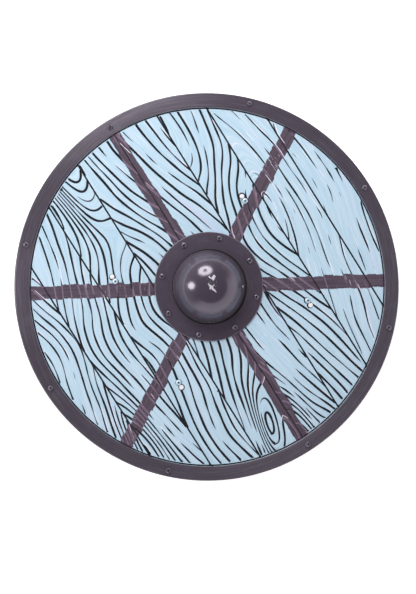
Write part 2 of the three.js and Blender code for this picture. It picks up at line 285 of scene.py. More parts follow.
def spin(profile, segments, closed=False):  # (radius, height) points turned about the Z axis
    points, rings, faces = [], [], []
    for radius, height in profile:
        count = segments if radius > 1e-7 else 1
        rings.append([len(points) + i for i in range(count)])
        for i in range(count):
            angle = 2 * math.pi * i / segments
            points.append((radius * math.cos(angle), radius * math.sin(angle), height))
    for a, b in zip(rings, rings[1:] + (rings[:1] if closed else [])):
        for i in range(segments if len(a) + len(b) > 2 else 0):
            j = (i + 1) % segments
            corners = [a[i % len(a)], a[j % len(a)], b[j % len(b)], b[i % len(b)]]
            faces.append(list(dict.fromkeys(corners)))
    return points, faces


# Camera, floor and light

view = {
    "lens": 150,
    "distance": 3.89,
    "lean": math.radians(8),  # off the shield's axis
    "leanTowards": (-0.90, 0.434),
    "up": (0.534, 0.845),  # the photo's upright in the boards' own directions
    "shieldRight": 1.4 * mm,  # the shield's centre from the picture's centre
    "shieldUp": 16.3 * mm,
}

leanX, leanY = view["leanTowards"]
towardsCamera = Vector((leanX * math.sin(view["lean"]), leanY * math.sin(view["lean"]),
                        math.cos(view["lean"]))).normalized()
pictureUp = Vector((*view["up"], 0))
pictureUp = (pictureUp - pictureUp.dot(towardsCamera) * towardsCamera).normalized()
pictureRight = pictureUp.cross(towardsCamera)
shieldCentre = Vector((0, 0, boardFront))


def aim(item, place, back, up):  # its own Z points along back, and its Y along up
    turned = Matrix((up.cross(back), up, back)).transposed().to_4x4()
    item.matrix_world = Matrix.Translation(place) @ turned


camera = bpy.data.objects.new("camera", bpy.data.cameras.new("camera"))
camera.data.lens = view["lens"]
scene.collection.objects.link(camera)
scene.camera = camera
target = shieldCentre - pictureRight * view["shieldRight"] - pictureUp * view["shieldUp"]
aim(camera, target + towardsCamera * view["distance"], towardsCamera, pictureUp)

lamps = {  # towards: right, up and out of the picture, from the shield
    "leftBox": {"towards": (-0.82, 0.045, 0.56), "distance": 2.2, "size": (0.72, 0.9), "watts": 19},
    "topBox": {"towards": (-0.16, 0.79, 0.60), "distance": 2.4, "size": (1.7, 1.35), "watts": 66},
}

hub = {
    "lamp": "topBox",
    "ahead": 0.2,
    "radius": 0.2,
    "thickness": 0.02,
    "segments": 48,
    "black": (shade(24, 24, 26), shade(52, 52, 54)),
}


def makeLamp(name, towards, distance, size, watts):
    data = bpy.data.lights.new(name, "AREA")
    data.shape = "ELLIPSE"
    data.size, data.size_y = size
    data.energy = watts
    lamp = bpy.data.objects.new(name, data)
    scene.collection.objects.link(lamp)
    right, up, back = towards
    away = (pictureRight * right + pictureUp * up + towardsCamera * back).normalized()
    lampUp = (towardsCamera - away.dot(towardsCamera) * away).normalized()
    aim(lamp, shieldCentre + away * distance, away, lampUp)


def makeHub():  # a disc before the middle of a lamp, as in a beauty dish
    black = Finish("hubMetal", Roughness=0.6)
    black.feed("Base Color", black.mix(black.noise(40, black.place), *hub["black"]))
    radius, half = hub["radius"], hub["thickness"] / 2
    shape = spin([(0, half), (radius, half), (radius, -half), (0, -half)], hub["segments"])
    mesh = newMesh("hub", *shape, black)
    lamp = bpy.data.objects[hub["lamp"]]
    mesh.transform(lamp.matrix_world @ Matrix.Translation((0, 0, -hub["ahead"])))
    addPiece("hub", mesh)


for lampName, settings in lamps.items():
    makeLamp(lampName, **settings)
makeHub()

room = {
    "overhead": (0.255, 0.24, 0.265),
    "horizon": (0.92, 0.93, 0.95),
    "farHorizon": (0.33, 0.31, 0.34),
    "horizonHeight": (0.02, 0.45),
    "nearness": (-0.5, 0.4),  # from the far horizon to the near one
    "screen": (1.66, 1.63, 1.7),  # a pale screen low down in front of the shield
    "screenTowards": (0.134, -0.990),
    "screenSides": (0.0, 0.5),
    "screenTop": (0.6, 0.54),
}


def makeRoom():
    world = bpy.data.worlds.new("room")
    scene.world = world
    world.use_nodes = True
    desk = Desk(world.node_tree)
    x, y, z = desk.split(desk.node("TexCoord", {}, {}, "Generated"))
    towardsX, towardsY = room["screenTowards"]
    facing = x * towardsX + y * towardsY
    horizon = desk.mix(facing.smooth(*room["nearness"]), room["farHorizon"], room["horizon"])
    sky = desk.mix(z.smooth(*room["horizonHeight"]), horizon, room["overhead"])
    screen = facing.smooth(*room["screenSides"]) * z.smooth(*room["screenTop"])
    colour = desk.mix(screen, sky, room["screen"])
    light = desk.node("Background", {}, {"Color": colour, "Strength": 1.0})
    desk.node("OutputWorld", {}, {"Surface": light})


ground = {
    "half": 14,
    "paintedPool": (2.6, 0.75),  # radii at which its painted pool of light has faded and is still full
    "glow": 0.67,
    "glowInside": 0.05,  # it reaches this far under the shield and washes out the shadow round it
    "farGlow": (0.2, 0.2, 0.2),
    "white": ((0.93, 0.93, 0.94), (0.955, 0.955, 0.96)),
    "grey": (0.55, 0.55, 0.56),
}


def makeFloor():
    paper = Finish("paper", Roughness=0.95, Specular_IOR_Level=0.1, Emission_Strength=ground["glow"])
    x, y, _ = paper.split(paper.place)
    radius = (x * x + y * y) ** 0.5
    # it glows outside the shield, which washes out the shadow round it, and its colour and glow fade
    # with distance as a painted pool of light
    paintedPool = radius.smooth(*ground["paintedPool"])
    white = paper.mix(paper.noise(3, paper.place), *ground["white"])
    paper.feed("Base Color", paper.mix(paintedPool, ground["grey"], white))
    lit = paper.mix(paintedPool, ground["farGlow"], (1, 1, 1))
    outside = radius.smooth(shieldRadius - ground["glowInside"], shieldRadius)
    paper.feed("Emission Color", paper.mix(outside, (0, 0, 0), lit))
    half = ground["half"]
    corners = [(-half, -half, 0), (half, -half, 0), (half, half, 0), (-half, half, 0)]
    addPiece("floor", newMesh("floor", corners, [(0, 1, 2, 3)], paper))


makeRoom()
makeFloor()
scene.view_settings.view_transform = "Standard"
print("camera, floor and light made")


# Grain: each plank has a field whose whole numbers are the carved lines.
# lines: how many run side by side. drift: (along, across) pairs that the lines follow.
# knots: across, along, half width, half length, lean, strength in lines.
# wear: how much of the carving is rubbed faint. weight: how broad its cuts are.
# faint: places where it is rubbed fainter still: across, along, half width, half length, how much.
# Across is in plank widths, and along is in shield radii.

grainOfPlank = [
    {"lines": 6.0, "phase": 0.1, "wear": 0.18, "weight": 0.95,
     "drift": [(-0.8, -0.5), (-0.45, -0.34), (-0.15, -0.1), (0.12, 0.16), (0.35, -0.05), (0.6, -0.35)],
     "knots": [(1.02, -0.5, 0.3, 0.24, 0.0, 3.4), (0.08, 0.1, 0.12, 0.1, 0.0, -1.2)]},
    {"lines": 5.6, "phase": 0.3, "wear": 0.08, "weight": 0.98,
     "drift": [(-0.85, 0.62), (-0.5, 0.3), (-0.2, 0.08), (0.0, 0.0), (0.25, 0.3), (0.5, 0.72),
               (0.8, 0.95)],
     "knots": [(0.0, -0.5, 0.4, 0.3, 0.0, -3.6)]},
    {"lines": 5.4, "phase": 0.0, "wear": 0.02, "weight": 1.1,
     "drift": [(-0.95, 0.1), (-0.7, -0.05), (-0.4, 0.12), (-0.15, 0.22), (0.05, 0.0), (0.25, 0.3),
               (0.5, 0.85), (0.75, 0.95), (1.0, 0.7)],
     "knots": [(0.74, 0.98, 0.4, 0.4, 0.0, 7.0), (1.1, 0.45, 0.5, 0.25, 0.0, -1.2)],
     "faint": [(0.8, 0.5, 0.3, 0.13, 0.45)]},
    {"lines": 5.6, "phase": 0.4, "wear": 0.0, "weight": 1.12,
     "drift": [(-1.0, -0.2), (-0.6, 0.0), (-0.3, 0.4), (0.0, 0.6), (0.3, 0.5), (0.6, -0.1),
               (0.85, -0.35), (1.0, -0.4)],
     "knots": [(0.5, -0.78, 0.24, 0.19, 0.2, 4.4)]},
    {"lines": 5.2, "phase": 0.2, "wear": 0.14, "weight": 1.1,
     "drift": [(-1.0, 1.0), (-0.75, 0.5), (-0.4, 0.1), (0.0, 0.0), (0.3, -0.25), (0.6, -0.75),
               (0.9, -1.0)],
     "knots": [(0.1, -0.85, 0.3, 0.25, 0.0, -3.0)],
     "faint": [(0.6, -0.42, 0.5, 0.14, 1.0)]},
    {"lines": 5.4, "phase": 0.0, "wear": 0.05, "weight": 1.05,
     "drift": [(-0.9, 1.3), (-0.5, 0.9), (-0.2, 0.4), (0.1, 0.0), (0.3, 0.2), (0.6, 0.85), (0.9, 1.1)],
     "knots": []},
    {"lines": 4.6, "phase": 0.5, "wear": 0.62, "weight": 0.85,
     "drift": [(-0.8, -0.6), (-0.4, -0.25), (0.0, 0.1), (0.3, 0.1), (0.6, -0.1), (0.9, -0.3)],
     "knots": [(0.12, 0.22, 0.3, 0.34, 0.1, -3.6)],
     "faint": [(0.5, -0.32, 0.5, 0.2, 0.3)]},
    {"lines": 5.0, "phase": 0.3, "wear": 0.42, "weight": 0.95,
     "drift": [(-0.6, -0.5), (-0.2, -0.1), (0.2, 0.2), (0.5, 0.1)],
     "knots": []},
]
ripple = 0.16  # how far slow waves push the lines, counted in lines
unsteady = 0.14  # and how far they wander without a rule


def followPairs(pairs, along):  # a smooth curve through (place, value) pairs
    places, values = np.array(pairs).T
    slopes = np.gradient(values, places)
    along = np.clip(along, places[0], places[-1])
    k = np.clip(np.searchsorted(places, along) - 1, 0, len(places) - 2)
    step = places[k + 1] - places[k]
    t = (along - places[k]) / step
    rise = 2 * t**3 - 3 * t**2 + 1
    return (rise * values[k] + (1 - rise) * values[k + 1]
            + (t**3 - 2 * t**2 + t) * step * slopes[k] + (t**3 - t**2) * step * slopes[k + 1])


def inPlank(plank, x, y):  # across from its left seam, and along
    return x / plankPitch - plank + 4, y / shieldRadius


def grainAt(plank, x, y):
    grain = grainOfPlank[plank]
    u, v = inPlank(plank, x, y)
    field = grain["lines"] * (u - followPairs(grain["drift"], v)) + grain["phase"]
    for across, along, halfWidth, halfLength, lean, strength in grain["knots"]:
        dv = (v - along) / halfLength
        du = (u - across - lean * dv) / halfWidth
        field = field + strength * np.exp(-(du * du + dv * dv))
    start = 6 * grain["lines"] + 10 * grain["phase"]
    for k in range(4):
        field = field + ripple * np.sin((4 + 1.7 * k) * u + (12 - 2.3 * k) * v + start + 2 * k)
    wandering = np.vectorize(lambda a, b: noise.noise(Vector((a * 3, b * 7, plank * 3.1))))
    return field + unsteady * wandering(u, v)


def faintAt(plank, x, y):
    u, v = inPlank(plank, x, y)
    faint = np.zeros(len(x))
    for across, along, halfWidth, halfLength, amount in grainOfPlank[plank].get("faint", []):
        faint += amount * np.exp(-((u - across) / halfWidth) ** 2 - ((v - along) / halfLength) ** 2)
    return faint


def wholeLines(field, xs, ys):  # where the field crosses whole numbers, as chains of points
    chains = []
    for level in range(math.floor(field.min()), math.ceil(field.max()) + 1):
        places, links = {}, {}
        above = field > level
        cells = np.argwhere((above[:-1, :-1].astype(int) + above[1:, :-1]
                             + above[:-1, 1:] + above[1:, 1:]) % 4 != 0)
        for j, i in cells:
            keys = []
            here, right, over, across = (j, i), (j, i + 1), (j + 1, i), (j + 1, i + 1)
            for side, a, b in (("h", here, right), ("v", right, across),
                               ("h", over, across), ("v", here, over)):
                if above[a] != above[b]:
                    t = (level - field[a]) / (field[b] - field[a])
                    x = xs[a[1]] + t * (xs[b[1]] - xs[a[1]])
                    y = ys[a[0]] + t * (ys[b[0]] - ys[a[0]])
                    places[side, *a] = (x, y)
                    keys.append((side, *a))
            for a, b in zip(keys[::2], keys[1::2]):
                links.setdefault(a, []).append(b)
                links.setdefault(b, []).append(a)
        unused = set(links)
        for start in sorted(k for k in links if len(links[k]) == 1) + sorted(links):
            if start not in unused:
                continue
            chain = [start]
            unused.discard(start)
            while nexts := [k for k in links[chain[-1]] if k in unused]:
                chain.append(nexts[0])
                unused.discard(nexts[0])
            if len(chain) > 3:
                chains.append(np.array([places[k] for k in chain]))
    return chains


# Boards

boards = {
    "cutWidth": 3.5 * mm,
    "cutDepth": 1.25 * mm,
    "stepAlong": 2.6 * mm,
    "faceStep": 6 * mm,
    "cells": (44, 221),  # across and along, in which the lines are followed
    "taper": 14 * mm,  # length of a cut's thin end
    "stopAtRim": 278.6 * mm,
    "stopSpread": 1.6 * mm,
    "stopUnderBoss": 82.5 * mm,
    "stopAtSeam": 0.5 * mm,
    "strength": 0.9,  # of the carving where nothing is worn
    "slowFade": 1.25,
    "quickFade": 0.75,
    "faintest": 0.16,  # a line stops below this strength
    "shareOfGap": 0.27,  # a cut's half width stays below this share of the gap between two lines
    "inkFrom": 0.14,  # the strength at which a cut begins to be black
    "inkOver": 0.42,  # and how much more it takes for full black
    "hairline": 0.15 * mm,  # half width below which a cut has no depth
    "fineStep": 0.6 * mm,  # between the places at which a point looks for its nearest cut
    "outlineStep": 4 * mm,
    "seamStep": 5 * mm,
    "ringPoints": 400,
    "recessPoints": 28,
    "headPoints": 24,
    "headRings": (0.25 * mm, 0.55 * mm, 0.85 * mm),  # rings of points round each head, for the ring of painted shade
    "paintedShade": 0.8 * mm,  # width of the dark ring of painted shade there
    "fromEdge": 2.5 * mm,  # the plain points keep this far from the outline
    "fromCuts": 2.2 * mm,  # and this far from any cut
    "merged": 0.004,  # mm; points closer than this are one
    "radius": 302.9 * mm,
    "seamChamfer": 1.3 * mm,
    "tuck": 0.06 * mm,  # inner lines stay this far off the outline
    "rimLine": (279.4 * mm, 282 * mm),  # groove beside the rim
    "rimLineDepth": 1.3 * mm,
    "recess": (4.4 * mm, 1.1 * mm),  # radius and depth under each plated rivet
    "recessWall": 0.15 * mm,
    "backEdge": 0.6 * mm,
    "unevenness": 0.22 * mm,
}


def evenly(points, step):  # the same line with points about a step apart
    lengths = np.r_[0, np.cumsum(np.hypot(*np.diff(points, axis=0).T))]
    count = max(3, round(lengths[-1] / step) + 1)
    at = np.linspace(0, lengths[-1], count)
    return np.c_[np.interp(at, lengths, points[:, 0]), np.interp(at, lengths, points[:, 1])]


def runsOf(flags):  # (first, last) of each unbroken run of True
    edges = np.flatnonzero(np.diff(np.r_[0, flags.astype(int), 0]))
    return [(a, b - 1) for a, b in zip(edges[::2], edges[1::2])]


def strengthOf(plank, order, points):  # how strongly a line is carved, point by point
    step = boards["stepAlong"]
    level = boards["strength"] - grainOfPlank[plank]["wear"]
    return np.array([
        level + boards["slowFade"] * noise.noise(Vector((n * step * 11, order * 3.7, plank * 5.1)))
        + boards["quickFade"] * noise.noise(Vector((n * step * 42, order * 2.3, plank * 1.9)))
        for n in range(len(points))]) - faintAt(plank, *points.T)


def thinned(fromEnd):  # the share of its width that a cut has near its end
    return np.clip(fromEnd / boards["taper"], 0.02, 1) ** 0.7


def cutsOf(plank, low, high):  # each cut: its centre line, half widths and how black it is
    step, keep = boards["stepAlong"], boards["stopAtSeam"]
    columns, rows = boards["cells"]
    xs = np.linspace(low - 2 * mm, high + 2 * mm, columns)
    ys = np.linspace(-0.97, 0.97, rows) * shieldRadius
    field = grainAt(plank, *np.meshgrid(xs, ys))
    gaps = 1 / np.maximum(np.hypot(*np.gradient(field, ys, xs)), 1)
    broadest = boards["cutWidth"] / 2 * grainOfPlank[plank]["weight"]
    cuts = []
    for order, chain in enumerate(wholeLines(field, xs, ys)):
        points = evenly(chain, step)
        for _ in range(2):
            points[1:-1] = (points[:-2] + 2 * points[1:-1] + points[2:]) / 4
        radius = np.hypot(*points.T)
        stop = boards["stopAtRim"] - boards["stopSpread"] * ((order * 7 + plank * 3) % 5) / 4
        inside = ((points[:, 0] > low + keep) & (points[:, 0] < high - keep)
                  & (radius < stop) & (radius > boards["stopUnderBoss"]))
        strength = strengthOf(plank, order, points)
        for first, last in runsOf(inside):
            for a, b in runsOf(strength[first:last + 1] > boards["faintest"]):
                a, b = first + a, first + b
                if b - a < 4:
                    continue
                part = points[a:b + 1]
                power = np.clip(strength[a:b + 1], 0, 1.25)
                along = np.arange(len(part)) * step
                thin = np.ones(len(part))
                if a > first:
                    thin *= thinned(along)
                if b < last:
                    thin *= thinned(along[-1] - along)
                i = np.searchsorted(xs, part[:, 0]).clip(0, columns - 1)
                j = np.searchsorted(ys, part[:, 1]).clip(0, rows - 1)
                most = gaps[j, i] * boards["shareOfGap"]
                half = np.minimum(broadest * (0.38 + 0.62 * power), most) * thin
                black = np.clip((power - boards["inkFrom"]) / boards["inkOver"], 0, 1)
                cuts.append((part, half, black))
    return cuts


def outlineOf(low, high, radius, step):  # a plank in plan: a strip cut from the disc
    def arcPoints(fromX, toX, side):
        a, b = (math.acos(max(-1, min(1, x / radius))) for x in (fromX, toX))
        count = max(2, math.ceil(radius * abs(b - a) / step))
        angles = [a + (b - a) * k / count for k in range(count + 1)]
        return [(radius * math.cos(t), side * radius * math.sin(t)) for t in angles]

    def seamPoints(x, side):
        top = math.sqrt(max(0, radius**2 - x**2))
        count = math.ceil(2 * top / step)
        return [(x, side * top * (1 - 2 * k / count)) for k in range(1, count)]

    low, high = max(low, -radius), min(high, radius)
    loop = (arcPoints(low, high, -1) + seamPoints(high, -1)
            + arcPoints(high, low, 1) + seamPoints(low, 1))
    return [p for k, p in enumerate(loop) if math.dist(p, loop[k - 1]) > 0.01 * mm]


def rivetsIn(kind, low, high):
    return [spot for spot in (centreOf(f"{kind}_{i}") for i in (1, 2, 3, 4)) if low < spot.x < high]


def treeOf(cuts):  # finds the nearest place on any cut
    dense = []
    for points, half, black in cuts:
        fine = evenly(points, boards["fineStep"])
        at, given = np.linspace(0, 1, len(fine)), np.linspace(0, 1, len(half))
        dense += zip(fine, np.interp(at, given, half), np.interp(at, given, black))
    tree = KDTree(len(dense))
    for index, (spot, _, _) in enumerate(dense):
        tree.insert((*spot, 0), index)
    tree.balance()
    return tree, dense


def planOf(low, high, recesses, heads, cuts, tree):  # the face in plan, with points on every cut
    outer, tuck = boards["radius"], boards["tuck"]
    coords, edges = [], []

    def addLine(points, closed=False):
        start = len(coords)
        coords.extend(Vector((x / mm, y / mm)) for x, y in points)
        edges.extend((k, k + 1) for k in range(start, len(coords) - 1))
        if closed:
            edges.append((len(coords) - 1, start))

    def addCircle(spot, radius, count):
        addLine(arc(spot.x, spot.y, radius, 0, 2 * math.pi, count + 1)[:-1], closed=True)

    addLine(outlineOf(low, high, outer, boards["outlineStep"]), closed=True)
    for x in (low + boards["seamChamfer"], high - boards["seamChamfer"]):
        if abs(x) < outer:
            top = math.sqrt(outer**2 - x**2) - tuck
            count = math.ceil(2 * top / boards["seamStep"])
            addLine([(x, t * top) for t in np.linspace(-1, 1, count)])
    inner, rimward = boards["rimLine"]
    angles = np.linspace(0, 2 * math.pi, boards["ringPoints"] + 1)
    for radius in (inner, (inner + rimward) / 2, rimward):
        ring = np.c_[radius * np.cos(angles), radius * np.sin(angles)]
        for a, b in runsOf((ring[:, 0] > low + tuck) & (ring[:, 0] < high - tuck)):
            addLine(ring[a:b + 1])
    for spot in recesses:
        for inset in (0, boards["recessWall"]):
            addCircle(spot, boards["recess"][0] - inset, boards["recessPoints"])
    for spot, headSize in heads:
        for wider in boards["headRings"]:
            addCircle(spot, headSize + wider, boards["headPoints"])
    for points, half, _ in cuts:
        tangent = np.gradient(points, axis=0)
        tangent /= np.maximum(np.hypot(*tangent.T), 1e-9)[:, None]
        normal = np.c_[-tangent[:, 1], tangent[:, 0]]
        for across in (-1, -0.5, 0, 0.5, 1):
            moved = points + normal * (half * across)[:, None]
            moved[:, 0] = np.clip(moved[:, 0], low + tuck, high - tuck)
            addLine(moved)

    spacing, margin = boards["faceStep"], boards["fromEdge"]
    for row, y in enumerate(np.arange(-outer, outer, spacing * 0.87)):
        start = math.floor(low / spacing) * spacing + (row % 2) * spacing / 2
        for x in np.arange(start, high, spacing):
            if (low + margin < x < high - margin and math.hypot(x, y) < outer - margin
                    and tree.find((x, y, 0))[2] > boards["fromCuts"]):
                coords.append(Vector((x / mm, y / mm)))
    made, _, faces, *_ = delaunay_2d_cdt(coords, edges, [], 1, boards["merged"], False)
    return np.array([tuple(v) for v in made]) * mm, list(faces)


def closeBack(points, faces, plan, low, high):  # the sides, the rounded back edge and the back
    sides = dict.fromkeys((a, b) for face in faces for a, b in zip(face, [*face[1:], face[0]]))
    around = {a: b for a, b in sides if (b, a) not in sides}
    loop = [next(iter(around))]
    while around[loop[-1]] != loop[0]:
        loop.append(around[loop[-1]])
    edge = boards["backEdge"]
    count, total = len(points), len(loop)
    points += [(*plan[a], boardBack + edge) for a in loop]
    for a in loop:
        x = min(max(plan[a][0], low + edge), high - edge)
        shrink = min(1, (boards["radius"] - edge) / math.hypot(x, plan[a][1]))
        points.append((x * shrink, plan[a][1] * shrink, boardBack))
    for k in range(total):
        n = (k + 1) % total
        faces.append((loop[n], loop[k], count + k, count + n))
        faces.append((count + n, count + k, count + total + k, count + total + n))
    faces.append([count + total + k for k in reversed(range(total))])


def makePlank(plank, name, finish):
    boxLow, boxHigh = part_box(name)
    outer = boards["radius"] + 5 * mm  # past the round, which alone ends the first and last plank
    low = boxLow.x if plank > 0 else -outer
    high = boxHigh.x if plank < 7 else outer
    recessRadius, recessDepth = boards["recess"]
    recesses = rivetsIn("plated_rivet", low, high)
    heads = [(spot, recessRadius) for spot in recesses]
    heads += [(spot, headRadius) for spot in rivetsIn("strap_rivet", low, high)]
    cuts = cutsOf(plank, low, high)
    tree, dense = treeOf(cuts)
    plan, faces = planOf(low, high, recesses, heads, cuts, tree)

    x, y = plan.T
    radius = np.hypot(x, y)
    found = [tree.find((px, py, 0)) for px, py in plan]
    away = np.array([distance for _, _, distance in found])
    half, ink = np.array([dense[index][1:] for _, index, _ in found]).T
    hairline, chamfer = boards["hairline"], boards["seamChamfer"]
    cut = np.clip(1 - away / half, 0, 1) * np.clip((half - hairline) / (2 * hairline), 0, 1)
    seam = np.clip(1 - np.minimum(x - low, high - x) / chamfer, 0, 1)
    inner, rimward = boards["rimLine"]
    line = np.clip(1 - np.abs(radius - (inner + rimward) / 2) / ((rimward - inner) / 2), 0, 1)
    broad = np.clip(half / (boards["cutWidth"] / 2), 0, 1.2)
    depth = boards["cutDepth"] * (1 - (1 - cut) ** 2) * broad
    depth = np.maximum(depth, np.maximum(seam * chamfer, line * boards["rimLineDepth"]))
    for spot in recesses:
        depth[np.hypot(x - spot.x, y - spot.y) < recessRadius - boards["recessWall"] / 3] = recessDepth
    waves = np.array([noise.noise(Vector((px * 18, py * 7, plank * 9.3))) for px, py in plan])
    waves = np.where(radius > inner, 0, boards["unevenness"] * (0.5 + 0.5 * waves))
    points = [(px, py, boardFront - d) for px, py, d in zip(x, y, np.maximum(depth, waves))]
    closeBack(points, faces, plan, low, high)
    mesh = newMesh(name + "_face", points, faces, finish, sharpFrom=32)

    # dark: the seams and the rim's groove, and round each rivet head a ring of painted shade
    dark = np.maximum(seam, line)
    for spot, headSize in heads:
        dark[np.hypot(x - spot.x, y - spot.y) < headSize + boards["paintedShade"]] = 1
    lower = np.zeros(len(points) - len(plan))
    addValues(mesh, plank, np.array(points), {
        "cut": np.r_[cut, lower],
        "ink": np.r_[ink, lower],
        "seam": np.r_[dark, lower + 1],
    })
    settle(addPiece(name + "_board", mesh), "painted_boards", name)
    return len(mesh.polygons)


def addValues(mesh, plank, points, values):  # what the paint reads, point by point
    x, y = points[:, 0], points[:, 1]
    lines = grainAt(plank, x, y)
    probe = 0.5 * mm
    slope = np.hypot(grainAt(plank, x + probe, y) - lines, grainAt(plank, x, y + probe) - lines)
    values |= {
        "grain": lines,
        "pitch": np.clip(probe / np.maximum(slope, 0.01), 0, 0.03),  # from one line to the next
        "wear": np.full(len(points), grainOfPlank[plank]["wear"]),
        "board": np.full(len(points), plank + 0.5),
    }
    for label, numbers in values.items():
        attribute = mesh.attributes.new(label, "FLOAT", "POINT")
        attribute.data.foreach_set("value", numbers.astype(np.float32))


paint = {
    "blue": shade(185, 208, 222),
    "paleBlue": shade(208, 223, 232),
    "deepBlue": shade(170, 199, 215),
    "lilac": shade(200, 200, 226),
    "black": shade(16, 20, 28),
    "rubbed": shade(104, 108, 126),
    "band": shade(88, 76, 89),
    "bandDark": shade(69, 57, 69),
    "bandCut": shade(122, 104, 122),
    # pale scratches across the bands, and the pale lines beside the cuts, which are partly a painted
    # highlight
    "scratchAndSheen": shade(232, 228, 238),
    "bareWood": shade(196, 168, 128),
    "darkWood": shade(156, 122, 84),
    "poreWood": shade(112, 82, 54),
    "bandHalf": 10.8 * mm,
    "bandAngles": (30, 90, 150),
}


class BoardPaint(Finish):  # brushed paint that follows the grain, and bare wood on the back
    def __init__(self):
        super().__init__("boardPaint", Specular_IOR_Level=0.35)
        self.x, self.y, self.z = x, y, z = self.split(self.place)
        self.grain = self.attribute("grain")
        self.streaks = self.stretched(self.grain * 2.6, y * 7, x * 4, detail=4, roughness=0.6)
        self.threads = self.stretched(self.grain * 13, y * 26, x * 9, detail=2)
        self.crumbs = self.noise(620, self.place, detail=2)
        band, bandColour = self.bands()
        surface = self.mix(band, self.blue(), bandColour)
        surface, carved = self.carve(surface, band)
        front = z.smooth(boardBack + 1.0 * mm, boardBack + 2.2 * mm)
        rough = 0.5 + (self.streaks - 0.5) * 0.25 + carved * 0.2 - band * 0.06 + (1 - front) * 0.2
        fibres = self.stretched(self.grain * 24, y * 40, x * 14, detail=3)
        weave = self.bump(fibres, 0.35, 0.18 * mm)
        colour = self.mix(front, self.wood(), surface)
        self.dress(colour, rough, self.bump(self.crumbs, 0.18, 0.10 * mm, weave))

    def blue(self):
        patches = self.noise(9, self.place, detail=3).smooth(0.35, 0.7)
        tint = self.stretched(self.grain * 1.7, self.y * 5, self.x * 3 + 4, detail=2).smooth(0.52, 0.8)
        colour = self.mix(self.streaks.smooth(0.35, 0.72), paint["deepBlue"], paint["blue"])
        colour = self.mix(self.threads.smooth(0.48, 0.75) * 0.65, colour, paint["paleBlue"])
        return self.mix(tint * patches * 0.75, colour, paint["lilac"])

    def bands(self):  # their mask and their colour
        ragged = (self.noise(48, self.place) - 0.5) * (4 * mm) + (self.threads - 0.5) * (3 * mm)
        strips = self.maths("FLOOR", self.grain)  # the edge steps a little from strip to strip
        band, brushed = 0, 0
        for degrees in paint["bandAngles"]:
            sine, cosine = math.sin(math.radians(degrees)), math.cos(math.radians(degrees))
            across = self.x * sine - self.y * cosine
            along = self.x * cosine + self.y * sine
            steps = self.stretched(strips * 3.7, across * 40, along * 9, detail=1)
            edge = across.abs() + ragged + (steps - 0.5) * (9 * mm)
            mask = edge.smooth(paint["bandHalf"] + 0.35 * mm, paint["bandHalf"] - 0.35 * mm)
            hairs = self.stretched(across * 420, along * 14, degrees, detail=3)
            brushed = brushed * (1 - mask) + hairs * mask
            band = mask.larger(band)
        colour = self.mix(brushed.smooth(0.3, 0.68), paint["bandDark"], paint["band"])
        nicks = self.stretched(self.grain * 8, self.y * 55, self.x * 45, detail=1).smooth(0.72, 0.78)
        return band, self.mix(nicks * 0.6, colour, paint["scratchAndSheen"])

    def carve(self, surface, band):  # black cuts, pale lines beside them, partly scratches and partly a painted highlight on the cuts' edges, dark joints and a ring of painted shade round each rivet head
        labels = ("cut", "ink", "seam", "wear", "pitch")
        cut, ink, seam, wear, pitch = (self.attribute(label) for label in labels)
        uneven = self.crumbs - 0.5
        patchy = self.stretched(self.grain * 0.9, self.y * 22, self.x * 6, detail=2)
        carved = (cut + uneven * 0.22).smooth(0.03, 0.2)
        inBlue = self.mix(ink, paint["rubbed"], paint["black"])
        inked = ink * 0.75 - self.crumbs.smooth(0.3, 0.7) * 0.35 - patchy.smooth(0.3, 0.5) * 0.5
        inBand = self.mix(inked.smooth(0.1, 0.6), paint["bandCut"], paint["black"])
        surface = self.mix(carved, surface, self.mix(band, inBlue, inBand))
        # pale lines along one side of the cuts: partly scratches, partly a painted highlight on the
        # cuts' edges
        offset = (self.grain - self.grain.rounded()) * pitch
        beside = (offset - 2.0 * mm).abs().smooth(0.65 * mm, 0.3 * mm)
        level = 0.61 - wear * 0.12
        scratchesAndSheen = beside * (patchy - level).smooth(0.0, 0.05) * (1 - carved)
        surface = self.mix(scratchesAndSheen * 0.9, surface, paint["scratchAndSheen"])
        # black along the seams and the groove beside the rim, and the ring of painted shade round each
        # rivet head
        jointsAndHeadShade = (seam + uneven * 0.2).smooth(0.08, 0.26)
        return self.mix(jointsAndHeadShade * (1 - band * 0.6), surface, paint["black"]), carved

    def wood(self):
        x, y, z = self.x, self.y, self.z
        board = self.attribute("board")
        rings = self.stretched(x * 130 + board * 41, y * 6 + board * 9, z * 130,
                               detail=4, distortion=0.6)
        pores = self.stretched(x * 900, y * 16 + board * 5, z * 900, detail=2)
        toned = self.stretched(board * 3.7, y * 1.2, board * 1.3, detail=1)
        colour = self.mix(rings.smooth(0.35, 0.68) * 0.8, paint["bareWood"], paint["darkWood"])
        colour = self.mix(pores.smooth(0.55, 0.75) * 0.5, colour, paint["poreWood"])
        return self.mix(toned.smooth(0.35, 0.65) * 0.4, colour, paint["darkWood"])


boardPaint = BoardPaint()
for plank, name in enumerate(plankNames):
    print(name, makePlank(plank, name, boardPaint), "faces")
print("boards made")


# Steel

